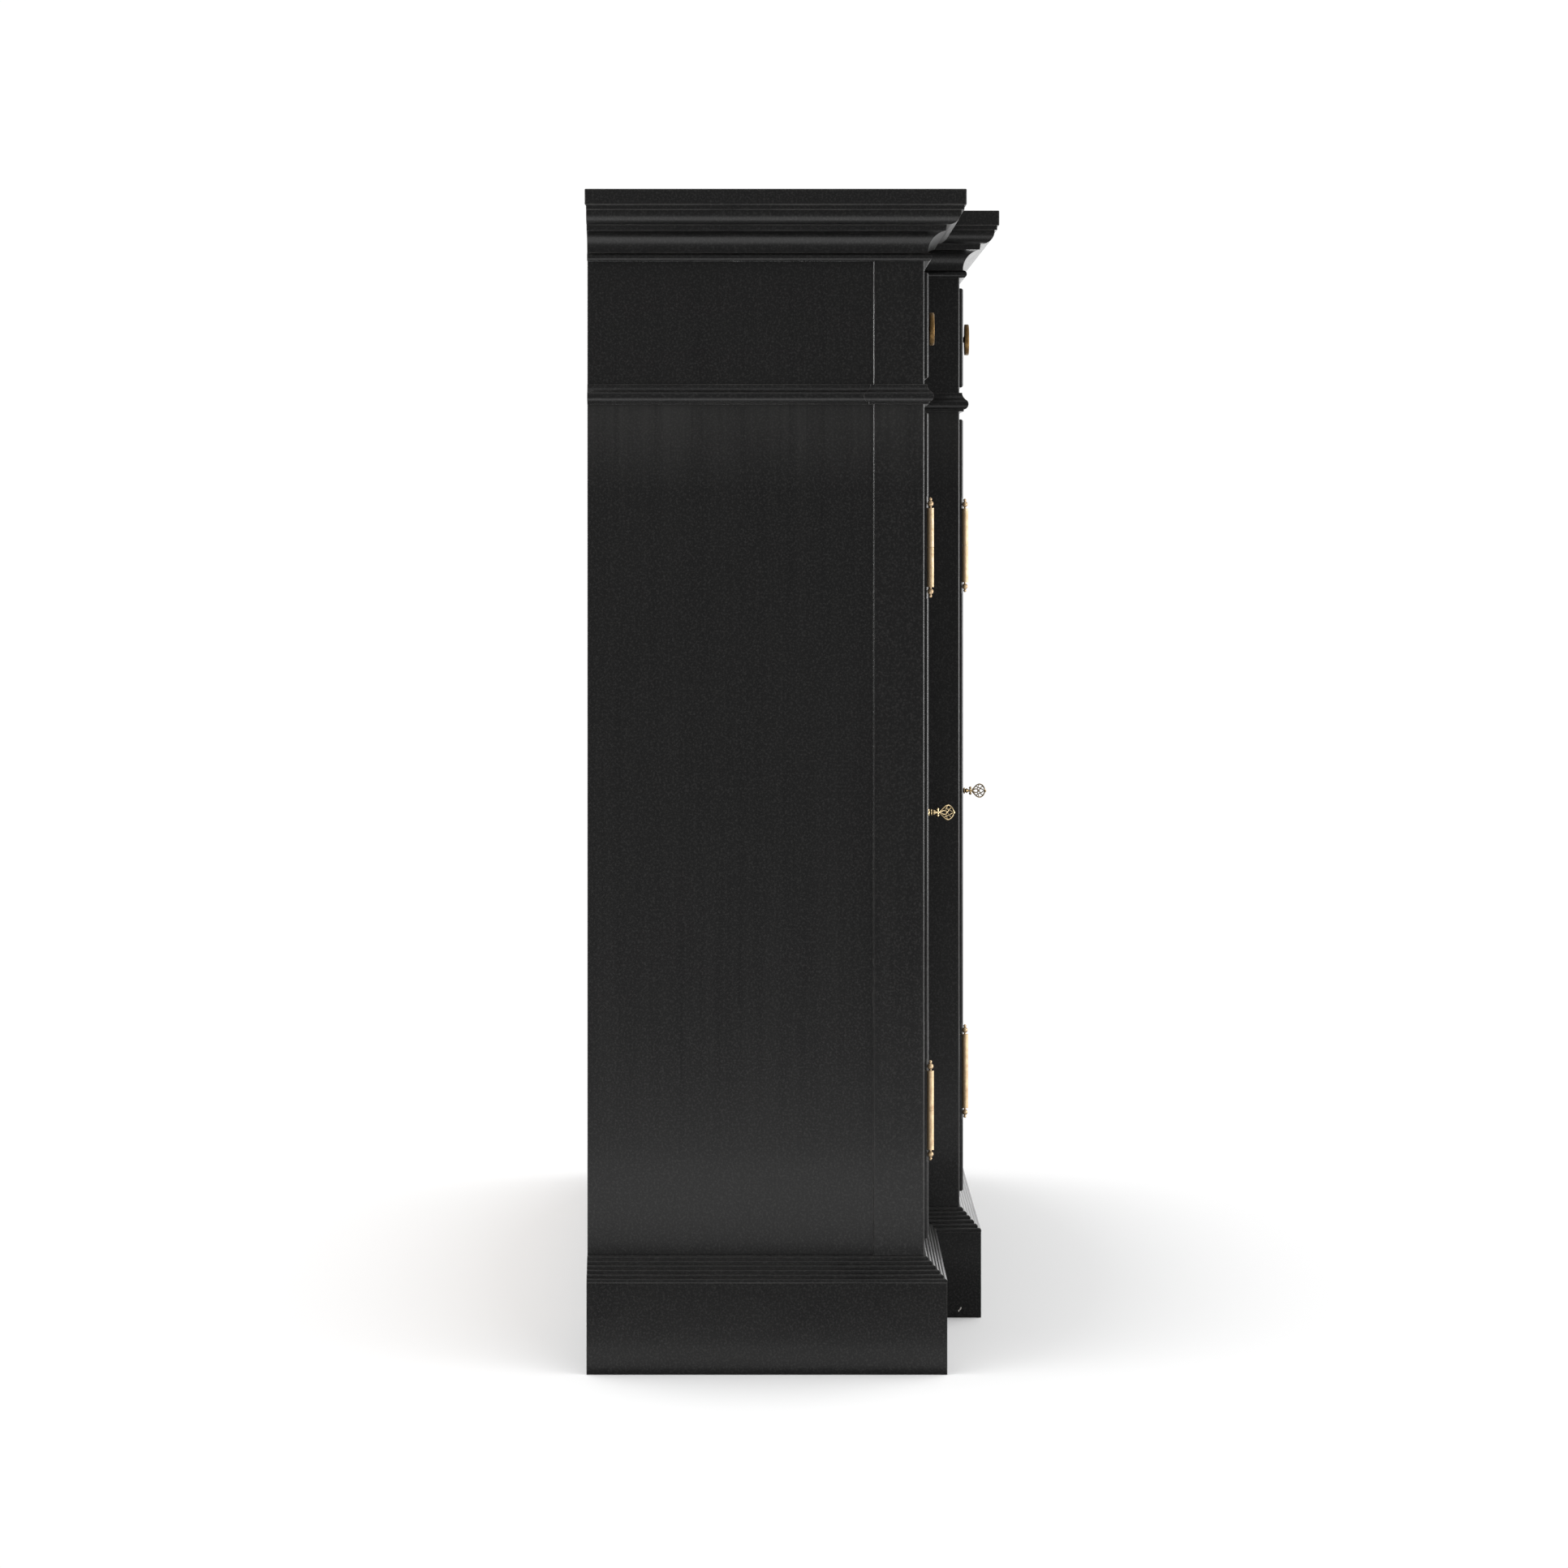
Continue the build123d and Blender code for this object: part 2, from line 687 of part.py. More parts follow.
top_plan = make_face(Polyline(*plan_line(top_overhang, -top_back_overhang), close=True))
top_board = extrude(Pos(0, 0, case_top) * top_plan, amount=top_thickness)
write_node("top_board", top_board)

cornice_z = case_top - cornice_height
write_node("cornice_moulding", *moulding_runs(plan_line(), cornice_profile(), cornice_z))
waist_z = door_top + waist_lift
waist_path = plan_line(break_at_posts=True)
write_node("waist_moulding", *moulding_runs(waist_path, waist_profile(), waist_z))
write_node("base_moulding", *moulding_runs(plan_line(), base_profile(), plinth_height))

plinth_profile = rectangle_profile(plinth_projection, plinth_height)
plinth_boards = moulding_runs(plan_line(), plinth_profile, 0)
board_floor = door_floor - panel_thickness
back_bearer = block(-center_inner_x, center_inner_x, 0, bearer_width, 0, board_floor)
left_bearer = block(-side_inner_x, -center_x, 0, bearer_width, 0, board_floor)
write_node("plinth_frame", *plinth_boards, back_bearer, *pair(left_bearer))

post_back = side_depth - post_depth
wall_front = center_depth - center_post_depth
left_side = without(block(-panel_x, -side_inner_x, 0, post_back, 0, case_top), left_pins)
left_wall = block(-center_x, -center_inner_x, 0, wall_front, 0, case_top)
left_wall = without(left_wall, left_pins + center_pins)
write_node("side_panels", *pair(left_side))
write_node("partitions", *pair(left_wall))

ground_low = block(-side_x, -panel_x, 0, post_back, 0, plinth_height + base_height)
ground_high = block(-side_x, -panel_x, 0, post_back, cornice_z, case_top)
write_node("moulding_grounds", *pair(ground_low), *pair(ground_high))

write_node("corner_posts", *pair(left_post))
write_node("center_posts", *pair(left_center_post))

side_face = side_depth + front_proud
center_face = center_depth + front_proud
left_door_x = (-side_opening_outer + hinge_gap, -side_opening_inner - lock_gap)
center_door_x = (-center_opening + hinge_gap, -lock_gap / 2)
left_lock = lock_set(left_door_x[1], 1, side_face, side_key_projection)
right_lock = lock_set(-left_door_x[1], -1, side_face, side_key_projection)
center_lock = lock_set(center_door_x[1], 1, center_face, center_key_projection)

stile_back = side_depth - frame_thickness
left_stile = block(-side_opening_inner, -center_x, stile_back, side_depth, plinth_height, case_top)
left_stile = without(left_stile, left_lock["frame_pockets"])
rail_back = center_depth - frame_thickness
muntin_edge = muntin_x + muntin_width / 2
muntin = block(-muntin_edge, -muntin_edge + muntin_width, rail_back, center_depth, drawer_floor, drawer_top)
write_node("face_stiles", *pair(left_stile), *pair(muntin))

center_back_face = center_face - front_thickness
catch_front = center_back_face - keeper_thickness - catch_gap
catch_back = catch_front - catch_depth
catch_x = (catch_from_center, catch_from_center + catch_width)
catch_block = block(*catch_x, catch_back, rail_back, door_top, drawer_floor - panel_thickness)

rails = section_rails(plinth_height, door_floor) + section_rails(door_top, drawer_floor)
rails += section_rails(drawer_top, case_top)
write_node("face_rails", *rails, catch_block)
write_node("bottom_boards", *section_boards(board_floor, door_floor))
write_node("divider_boards", *section_boards(drawer_floor - panel_thickness, drawer_floor))
write_node("drawer_guides", *guide_strips())

left_back = block(-side_inner_x, -center_x, 0, back_thickness, board_floor, case_top)
center_back = block(-center_inner_x, center_inner_x, 0, back_thickness, board_floor, case_top)
write_node("back_panels", *pair(left_back), center_back)

left_shelf = shelf(-side_inner_x, -center_x, side_shelf_depth)
write_node("left_shelf", left_shelf)
write_node("right_shelf", mirrored(left_shelf))
write_node("center_shelf", shelf(-center_inner_x, center_inner_x, center_shelf_depth))
write_node("shelf_pins", *all_pins)

frame_halves = build_door("left_door", *left_door_x, side_face, -1, left_lock["door_pockets"])
frame_halves += build_door("center_left_door", *center_door_x, center_face, -1, center_lock["door_pockets"])
center_right_x = (-center_door_x[1], -center_door_x[0])
center_right_pockets = center_lock["frame_pockets"]
frame_halves += build_door("center_right_door", *center_right_x, center_face, 1, center_right_pockets)
right_door_x = (-left_door_x[1], -left_door_x[0])
frame_halves += build_door("right_door", *right_door_x, side_face, 1, right_lock["door_pockets"])
write_node("hinge_frame_leaves", *frame_halves)

for name, lock in (("left", left_lock), ("center", center_lock), ("right", right_lock)):
    write_node(f"{name}_lock", *lock["lock"])
    write_node(f"{name}_lock_bolt", lock["bolt"])
    write_node(f"{name}_key", lock["key"])
write_node("strike_plates", left_lock["strike"], right_lock["strike"])

catch_floor = door_top - catch_height
magnet = block(*catch_x, catch_back, catch_front, catch_floor, door_top)
write_node("magnet_catch", magnet)
keeper_x = (catch_x[0] + keeper_margin, catch_x[1] - keeper_margin)
keeper_back = catch_front + catch_gap
keeper_top = door_top - gap - keeper_drop
keeper = block(*keeper_x, keeper_back, center_back_face, catch_floor, keeper_top)
write_node("center_door_plates", center_lock["strike"], keeper)

build_drawer("left_drawer", -side_opening_outer, -side_opening_inner, side_depth)
build_drawer("right_drawer", side_opening_inner, side_opening_outer, side_depth)
half_opening = (drawer_module - muntin_width) / 2
for name, middle in (("left", -drawer_module), ("middle", 0), ("right", drawer_module)):
    build_drawer(f"center_{name}_drawer", middle - half_opening, middle + half_opening, center_depth)
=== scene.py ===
"""Visual model of the breakfront apothecary cabinet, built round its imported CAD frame.

Metres, in the frame's own axes: the front faces -Y, +X is to the right from the front, Z is up.
"""

import json
import math

import bmesh
import bpy
from mathutils import Matrix, Vector


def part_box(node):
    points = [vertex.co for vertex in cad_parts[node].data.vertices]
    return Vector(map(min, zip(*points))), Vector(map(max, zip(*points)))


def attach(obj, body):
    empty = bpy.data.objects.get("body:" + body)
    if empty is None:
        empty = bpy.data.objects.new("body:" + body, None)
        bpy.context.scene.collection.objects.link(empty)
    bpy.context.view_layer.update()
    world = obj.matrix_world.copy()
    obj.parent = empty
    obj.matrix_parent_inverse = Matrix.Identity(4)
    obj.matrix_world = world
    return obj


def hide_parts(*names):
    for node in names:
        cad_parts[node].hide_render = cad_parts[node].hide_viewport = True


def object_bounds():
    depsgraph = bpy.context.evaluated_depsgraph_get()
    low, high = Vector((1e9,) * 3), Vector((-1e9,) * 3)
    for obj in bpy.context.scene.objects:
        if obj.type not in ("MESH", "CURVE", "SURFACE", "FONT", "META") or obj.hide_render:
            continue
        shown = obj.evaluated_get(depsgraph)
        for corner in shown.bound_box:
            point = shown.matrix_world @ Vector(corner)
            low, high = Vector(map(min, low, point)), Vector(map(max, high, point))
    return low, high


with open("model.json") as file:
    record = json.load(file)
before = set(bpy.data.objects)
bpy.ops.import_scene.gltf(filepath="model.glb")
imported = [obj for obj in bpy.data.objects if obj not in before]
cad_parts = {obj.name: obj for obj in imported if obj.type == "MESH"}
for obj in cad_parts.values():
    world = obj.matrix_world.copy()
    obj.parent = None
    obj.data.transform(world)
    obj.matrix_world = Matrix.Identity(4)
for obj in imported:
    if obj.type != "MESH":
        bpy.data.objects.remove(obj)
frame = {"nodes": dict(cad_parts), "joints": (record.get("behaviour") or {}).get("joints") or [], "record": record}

cad_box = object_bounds()
nodes = frame["nodes"]
slots = {part["node"]: part["material_slot"] for part in frame["record"]["subparts"]}
MM = 0.001


# Camera, floor and light. Lengths are in metres.

CAMERA_DISTANCE = 6.294
CAMERA_FROM_BACK = 0.2116
CAMERA_HEIGHT = 0.9577
CAMERA_SHIFT = (0.0057, -0.1716)
CAMERA_LENS_MM = 130.14
SENSOR_WIDTH_MM = 36
CLIP_END = 200

FLOOR_HALF_WIDTH = 60
FLOOR_DROP = 0.0004
FLOOR_COLOUR = (0.87, 0.87, 0.87, 1)
FADE_SHAPE = (0.85, 2.7, 0)
FADE_FROM, FADE_TO = 1.0, 2.1
WHITE = (1, 1, 1, 1)
SEEN_WHITE = 1.02
FLOOR_GLOW = 0.9
WORLD_GLOW = 0.95


def add_camera(low, high):
    """Level camera that looks along +X at the left side of the cabinet."""
    data = bpy.data.cameras.new("camera")
    data.sensor_width = SENSOR_WIDTH_MM
    data.lens = CAMERA_LENS_MM
    data.shift_x, data.shift_y = CAMERA_SHIFT
    data.clip_end = CLIP_END
    camera = bpy.data.objects.new("camera", data)
    camera.location = (low.x - CAMERA_DISTANCE, high.y - CAMERA_FROM_BACK, CAMERA_HEIGHT)
    camera.rotation_euler = (math.radians(90), 0, math.radians(-90))
    bpy.context.scene.collection.objects.link(camera)
    bpy.context.scene.camera = camera


def add_floor():
    """A wide pale floor, just below the cabinet, that fades to plain white away from it."""
    mesh = bpy.data.meshes.new("floor")
    s = FLOOR_HALF_WIDTH
    mesh.from_pydata([(-s, -s, 0), (s, -s, 0), (s, s, 0), (-s, s, 0)], [], [(0, 1, 2, 3)])
    floor = bpy.data.objects.new("floor", mesh)
    floor.location.z = -FLOOR_DROP
    bpy.context.scene.collection.objects.link(floor)
    material = bpy.data.materials.new("floor")
    material.use_nodes = True
    tree = material.node_tree
    tree.nodes.clear()
    out = tree.nodes.new("ShaderNodeOutputMaterial")
    mix = tree.nodes.new("ShaderNodeMixShader")
    near = tree.nodes.new("ShaderNodeBsdfDiffuse")
    near.inputs["Color"].default_value = FLOOR_COLOUR
    far = tree.nodes.new("ShaderNodeEmission")
    far.inputs["Color"].default_value = WHITE
    path = tree.nodes.new("ShaderNodeLightPath")
    glow = tree.nodes.new("ShaderNodeMapRange")
    glow.inputs["To Min"].default_value = FLOOR_GLOW
    glow.inputs["To Max"].default_value = SEEN_WHITE
    tree.links.new(path.outputs["Is Camera Ray"], glow.inputs["Value"])
    tree.links.new(glow.outputs["Result"], far.inputs["Strength"])
    place = tree.nodes.new("ShaderNodeTexCoord")
    length = tree.nodes.new("ShaderNodeVectorMath")
    length.operation = "LENGTH"
    fade = tree.nodes.new("ShaderNodeMapRange")
    fade.inputs["From Min"].default_value = FADE_FROM
    fade.inputs["From Max"].default_value = FADE_TO
    ellipse = tree.nodes.new("ShaderNodeMapping")
    ellipse.inputs["Scale"].default_value = FADE_SHAPE
    tree.links.new(place.outputs["Object"], ellipse.inputs["Vector"])
    tree.links.new(ellipse.outputs["Vector"], length.inputs[0])
    tree.links.new(length.outputs["Value"], fade.inputs["Value"])
    tree.links.new(fade.outputs["Result"], mix.inputs["Fac"])
    tree.links.new(near.outputs["BSDF"], mix.inputs[1])
    tree.links.new(far.outputs["Emission"], mix.inputs[2])
    tree.links.new(mix.outputs["Shader"], out.inputs["Surface"])
    mesh.materials.append(material)


def add_softbox(name, place, target, width, height, radiance, gloss_only=False):
    """A rectangular light facing its target. Radiance is in W per square metre and steradian."""
    data = bpy.data.lights.new(name, "AREA")
    data.shape = "RECTANGLE"
    data.size = width
    data.size_y = height
    data.energy = radiance * math.pi * width * height
    light = bpy.data.objects.new(name, data)
    light.location = place
    light.rotation_euler = (Vector(target) - Vector(place)).to_track_quat("-Z", "Y").to_euler()
    light.visible_diffuse = not gloss_only
    bpy.context.scene.collection.objects.link(light)


def set_world():
    """White behind everything, and softer light than that on the cabinet."""
    world = bpy.data.worlds.new("world")
    bpy.context.scene.world = world
    world.use_nodes = True
    tree = world.node_tree
    tree.nodes.clear()
    out = tree.nodes.new("ShaderNodeOutputWorld")
    seen = tree.nodes.new("ShaderNodeBackground")
    seen.inputs["Color"].default_value = WHITE
    seen.inputs["Strength"].default_value = SEEN_WHITE
    light = tree.nodes.new("ShaderNodeBackground")
    light.inputs["Color"].default_value = WHITE
    light.inputs["Strength"].default_value = WORLD_GLOW
    path = tree.nodes.new("ShaderNodeLightPath")
    mix = tree.nodes.new("ShaderNodeMixShader")
    tree.links.new(path.outputs["Is Camera Ray"], mix.inputs["Fac"])
    tree.links.new(light.outputs["Background"], mix.inputs[1])
    tree.links.new(seen.outputs["Background"], mix.inputs[2])
    tree.links.new(mix.outputs["Shader"], out.inputs["Surface"])


add_camera(*cad_box)
add_floor()
set_world()
add_softbox("overhead", (0, 0, 3.4), (0, 0, 0), width=5.0, height=4.0, radiance=1.7)

# Cards that only show in gloss. Upright ones stand before and behind the cabinet:
# name, x, y, z, width, height, radiance.
UPRIGHT_CARDS = (
    ("front_card", -0.7, -3.3, 0.8, 2.2, 1.0, 26.0),
    ("back_card", -0.8, 3.3, 1.225, 3.0, 0.17, 150.0),
)
# Upward ones lie on both sides of it: name, distance, z, width, length, radiance.
UPWARD_CARDS = (
    ("low_card", 1.62, 0.112, 0.9, 3.0, 3.6),
    ("floor_card", 1.10, 0.002, 0.18, 2.0, 2.2),
)
for name, x, y, z, width, height, radiance in UPRIGHT_CARDS:
    add_softbox(name, (x, y, z), (x, 0, z), width, height, radiance, gloss_only=True)
for name, distance, z, width, length, radiance in UPWARD_CARDS:
    for side, x in (("left_", -distance), ("right_", distance)):
        add_softbox(
            side + name, (x, 0, z), (x, 0, z + 1), width, length, radiance, gloss_only=True,
        )
bpy.context.scene.view_settings.view_transform = "Standard"


# Materials

BEVEL_SAMPLES = 4
RECESS_SAMPLES = 6
EDGE_DOT = 0.86


class Shader:
    """A material's node tree, with short ways to add and join nodes."""

    def __init__(self, name):
        self.material = bpy.data.materials.new(name)
        self.material.use_nodes = True
        self.tree = self.material.node_tree
        self.bsdf = self.tree.nodes["Principled BSDF"]
        self.place = self.tree.nodes.new("ShaderNodeTexCoord").outputs["Object"]

    def node(self, kind, **inputs):
        """A new node. Name=value feeds that input, i0=value input 0, and _name=value sets it up."""
        made = self.tree.nodes.new("ShaderNode" + kind)
        for key, value in inputs.items():
            if key.startswith("_"):
                setattr(made, key[1:], value)
                continue
            numbered = key[0] == "i" and key[1:].isdigit()
            self.feed(made.inputs[int(key[1:]) if numbered else key], value)
        return made

    def feed(self, socket, value):
        if isinstance(value, bpy.types.NodeSocket):
            self.tree.links.new(value, socket)
        else:
            socket.default_value = value

    def noise(self, stretch, detail=4.0, roughness=0.6, distortion=0.0, shift=0.0):
        """Noise in the object's own coordinates, with this many cells per metre along each axis."""
        mapped = self.node(
            "Mapping", Vector=self.place, Scale=stretch, Location=(shift, shift, shift),
        )
        return self.node(
            "TexNoise", Vector=mapped.outputs[0], Scale=1.0, Detail=detail, Roughness=roughness,
            Distortion=distortion,
        ).outputs["Fac"]

    def range(self, value, low, high, to_low=0.0, to_high=1.0):
        made = self.node("MapRange", Value=value)
        made.inputs["From Min"].default_value = low
        made.inputs["From Max"].default_value = high
        made.inputs["To Min"].default_value = to_low
        made.inputs["To Max"].default_value = to_high
        return made.outputs["Result"]

    def math(self, operation, a, b=0.0):
        return self.node("Math", _operation=operation, i0=a, i1=b).outputs[0]

    def mix(self, share, first, second):
        """A mix of two colours. Inputs 6 and 7 and output 2 are the colour sockets of the node."""
        return self.node("Mix", _data_type="RGBA", i0=share, i6=first, i7=second).outputs[2]

    def bump(self, height, distance, normal=None):
        made = self.node("Bump", Height=height, Distance=distance)
        if normal is not None:
            self.feed(made.inputs["Normal"], normal)
        return made.outputs["Normal"]

    def rounded(self, radius):
        """The surface normal as if sharp edges had this radius."""
        return self.node("Bevel", Radius=radius, _samples=BEVEL_SAMPLES).outputs["Normal"]

    def edges(self, radius):
        """0 on flat faces and up to 1 where a sharp edge is near."""
        rounded = self.rounded(radius)
        plain = self.node("NewGeometry").outputs["Normal"]
        dot = self.node("VectorMath", _operation="DOT_PRODUCT", i0=rounded, i1=plain)
        return self.range(dot.outputs["Value"], 1.0, EDGE_DOT)

    def upward(self):
        """How far the surface faces up: 1 on a level top and 0 on an upright side."""
        normal = self.node("NewGeometry").outputs["Normal"]
        return self.node("SeparateXYZ", Vector=normal).outputs["Z"]

    def principled(self, **values):
        """Sets plain values on the shader's own sockets, with _ for a blank in a socket's name."""
        for key, value in values.items():
            self.bsdf.inputs[key.replace("_", " ")].default_value = value


def colour(r, g, b):
    return (r, g, b, 1.0)


# Paint colours, from the deepest to the lightest
PAINT_DEEP = colour(0.0022, 0.0022, 0.0023)
PAINT_BRUSHED = colour(0.0042, 0.0041, 0.0040)
PAINT_CLOUDED = colour(0.0062, 0.0060, 0.0058)
PAINT_GRAIN = colour(0.021, 0.0205, 0.020)
PAINT_WIPED = colour(0.036, 0.0352, 0.034)
PAINT_DUST = colour(0.16, 0.15, 0.14)
# Pale grey for sharp edges: partly rubbed wear and partly a painted highlight.
PAINT_RUBBED_AND_HIGHLIGHT = colour(0.26, 0.25, 0.238)
RUBBED_AND_HIGHLIGHT_EDGE = 0.0016
PAINT_EDGE = 0.0007

# A paler band below the waist moulding. Heights where it starts and is full, and where it ends.
BAND_FROM, BAND_FULL = 0.985, 1.075
BAND_END, BAND_OUT = 1.0815, 1.0816
BAND_STRENGTH = 0.75


def paint(name, stretch, rub_and_highlight=0.5, least_rub_and_highlight=0.12):
    """Satin black paint under a thin clear coat, with a faint sheen.

    It has brush lines along the piece, a fine grain, rubbed edges that are paler partly from wear and
    partly as a painted highlight, a wiped and smudged band below the waist moulding, and a little dust
    on top. Its sharp edges look slightly rounded.
    """
    s = Shader(name)
    brush = s.noise(stretch, 4, 0.6)
    cloud = s.noise((3.2, 3.2, 1.6), 4, 0.6, 0.4, 5.0)
    grain = s.noise((420, 420, 420), 2, 0.7)
    tone = s.mix(s.range(brush, 0.30, 0.78), PAINT_DEEP, PAINT_BRUSHED)
    tone = s.mix(s.range(cloud, 0.45, 0.75, 0, 0.5), tone, PAINT_CLOUDED)
    tone = s.mix(s.range(grain, 0.48, 0.70, 0, 0.8), tone, PAINT_GRAIN)
    # Sharp edges mixed towards pale grey: partly rubbed wear, partly a painted highlight.
    rubbing_and_highlight = s.range(s.noise((9, 9, 9), 5, 0.7, 0, 2.0), 0.38, 0.66, least_rub_and_highlight, rub_and_highlight)
    tone = s.mix(s.math("MULTIPLY", s.edges(RUBBED_AND_HIGHLIGHT_EDGE), rubbing_and_highlight), tone, PAINT_RUBBED_AND_HIGHLIGHT)

    height = s.node("SeparateXYZ", Vector=s.place).outputs["Z"]
    fade_in = s.range(height, BAND_FROM, BAND_FULL)
    band = s.math("MULTIPLY", fade_in, s.range(height, BAND_OUT, BAND_END))
    wiped = s.math("MULTIPLY", band, s.range(brush, 0.3, 0.7, 0.4, 0.8))
    wiped = s.math("MULTIPLY", wiped, s.range(cloud, 0.35, 0.6, 0.4, 1.0))
    tone = s.mix(s.math("MULTIPLY", wiped, BAND_STRENGTH), tone, PAINT_WIPED)

    level = s.range(s.upward(), 0.6, 1.0)
    dust = s.math("MULTIPLY", level, s.range(cloud, 0.35, 0.7, 0.02, 0.08))
    s.feed(s.bsdf.inputs["Base Color"], s.mix(dust, tone, PAINT_DUST))

    uneven = s.math("ADD", brush, s.math("MULTIPLY", cloud, 0.5))
    s.feed(s.bsdf.inputs["Roughness"], s.range(uneven, 0.5, 1.0, 0.28, 0.36))
    s.principled(
        Specular_IOR_Level=0.12, Sheen_Weight=0.4, Sheen_Roughness=0.12,
        Coat_Weight=0.8, Coat_Roughness=0.10, Coat_IOR=1.09,
    )
    normal = s.bump(brush, 0.00002, s.rounded(PAINT_EDGE))
    s.feed(s.bsdf.inputs["Normal"], s.bump(grain, 0.00001, normal))
    return s.material


WOOD_DARK_RING = colour(0.19, 0.125, 0.078)
WOOD_LIGHT_RING = colour(0.29, 0.20, 0.13)
WOOD_GRAIN = colour(0.145, 0.088, 0.052)
WOOD_PORE = colour(0.09, 0.047, 0.024)
WOOD_WORN = colour(0.36, 0.27, 0.19)
WOOD_CHIPPED = colour(0.55, 0.53, 0.50)


def wood(name, along, pale=False):
    """Waxed bare wood with its grain along one axis. A chip in the paint lays bare pale wood."""
    s = Shader(name)

    def stretched(across, lengthways):
        return [lengthways if axis == along else across for axis in range(3)]

    grain = s.noise(stretched(260, 5), 6, 0.7, 0.3)
    figure = s.noise(stretched(28, 1.3), 4, 0.55, 1.2, 3.0)
    pore = s.noise(stretched(900, 24), 2, 0.6, 0, 7.0)
    rings = s.math("SINE", s.math("MULTIPLY", figure, 34.0))
    tone = s.mix(s.range(rings, -1, 1), WOOD_DARK_RING, WOOD_LIGHT_RING)
    tone = s.mix(s.range(grain, 0.3, 0.72, 0.0, 0.75), tone, WOOD_GRAIN)
    tone = s.mix(s.range(pore, 0.60, 0.72, 0, 0.55), tone, WOOD_PORE)
    worn = s.noise((4, 4, 4), 3, 0.6, 0.2, 9.0)
    tone = s.mix(s.range(worn, 0.45, 0.8, 0, 0.3), tone, WOOD_WORN)
    if pale:
        tone = s.mix(0.8, tone, WOOD_CHIPPED)
    s.feed(s.bsdf.inputs["Base Color"], tone)
    s.feed(s.bsdf.inputs["Roughness"], s.range(grain, 0.2, 0.8, 0.42, 0.62))
    s.principled(Specular_IOR_Level=0.4)
    normal = s.bump(grain, 0.00012)
    s.feed(s.bsdf.inputs["Normal"], s.bump(pore, -0.00008, normal))
    return s.material


METAL_EDGE = 0.0006
SCRATCH_DEPTH = 0.00003


def metal(name, bright, dull, dark, rough, tarnish, cavity=0.0008):
    """A metal with patches of tarnish, dark specks, worn bright edges and small scratches.

    Recesses up to about the width of cavity are darkened with painted shade.
    """
    s = Shader(name)
    s.principled(Metallic=1.0)
    patch = s.noise((160, 160, 160), 5, 0.65, 0.3)
    speck = s.noise((900, 900, 900), 3, 0.6, 0, 4.0)
    lines = s.noise((2600, 2600, 300), 3, 0.6, 0, 8.0)
    tone = s.mix(s.range(patch, 0.42, 0.68, 0, tarnish), bright, dull)
    tone = s.mix(s.range(speck, 0.58, 0.75, 0, tarnish), tone, dark)
    tone = s.mix(s.math("MULTIPLY", s.edges(METAL_EDGE), 0.35), tone, bright)
    # Painted shade: recesses darkened from ambient occlusion.
    recess_shade = s.node(
        "AmbientOcclusion", Distance=cavity, _samples=RECESS_SAMPLES, _only_local=True,
    ).outputs["AO"]
    tone = s.mix(s.range(recess_shade, 0.95, 0.5, 0, 0.95), tone, dark)
    s.feed(s.bsdf.inputs["Base Color"], tone)
    s.feed(s.bsdf.inputs["Roughness"], s.range(patch, 0.3, 0.75, rough, rough + 0.22))
    normal = s.bump(lines, SCRATCH_DEPTH)
    s.feed(s.bsdf.inputs["Normal"], s.bump(speck, SCRATCH_DEPTH * 1.5, normal))
    return s.material


X, Y, Z = 0, 1, 2
BRUSH_LINES = {X: (1.6, 120, 120), Y: (120, 1.6, 120), Z: (95, 95, 1.5)}
# Dark colour of the keys' specks and of the painted shade in their recesses, and how far that shade reaches.
KEY_SPECK_AND_SHADE = colour(0.010, 0.007, 0.004)
KEY_CAVITY = 0.0024

paints = {
    axis: paint("black_paint_" + "xyz"[axis], lines) for axis, lines in BRUSH_LINES.items()
}
# The mouldings get less of the pale edges, which are partly a painted highlight.
moulding_paint = paint("black_paint_moulding", (26, 26, 40), rub_and_highlight=0.22, least_rub_and_highlight=0.03)
woods = {axis: wood("inside_wood_" + "xyz"[axis], axis) for axis in (X, Y, Z)}
brass = metal(
    "brass", colour(0.60, 0.42, 0.23), colour(0.33, 0.20, 0.095), colour(0.08, 0.045, 0.024),
    rough=0.26, tarnish=0.7,
)
key_brass = metal(
    "key_brass", colour(0.60, 0.47, 0.27), colour(0.15, 0.10, 0.045), KEY_SPECK_AND_SHADE,
    rough=0.12, tarnish=0.85, cavity=KEY_CAVITY,
)
# A darker copy of the key brass, which paints shade onto the centre key.
dark_key_brass = metal(
    "dark_key_brass", colour(0.25, 0.185, 0.10), colour(0.06, 0.04, 0.02), KEY_SPECK_AND_SHADE,
    rough=0.14, tarnish=0.9, cavity=KEY_CAVITY,
)
hinge_brass = metal(
    "hinge_brass", colour(0.36, 0.27, 0.17), colour(0.25, 0.17, 0.10),
    colour(0.07, 0.042, 0.024), rough=0.50, tarnish=0.6,
)
aged_brass = metal(
    "aged_brass", colour(0.15, 0.092, 0.036), colour(0.07, 0.04, 0.017),
    colour(0.03, 0.018, 0.01), rough=0.45, tarnish=0.75,
)
bare_spot = wood("bare_spot", Z, pale=True)
steel = metal(
    "steel", colour(0.55, 0.54, 0.52), colour(0.34, 0.33, 0.32), colour(0.16, 0.12, 0.09),
    rough=0.28, tarnish=0.5,
)


# CAD nodes that stay: their finish, and softened edges

SHARP_ANGLE = 38
PANEL_ANGLE = 10
WELD_DISTANCE = 0.00001
LONG_X = (
    "face_rails", "top_board", "bottom_boards", "divider_boards", "left_shelf", "right_shelf",
    "center_shelf",
)
MOULDED = ("cornice_moulding", "waist_moulding", "base_moulding", "plinth_frame")


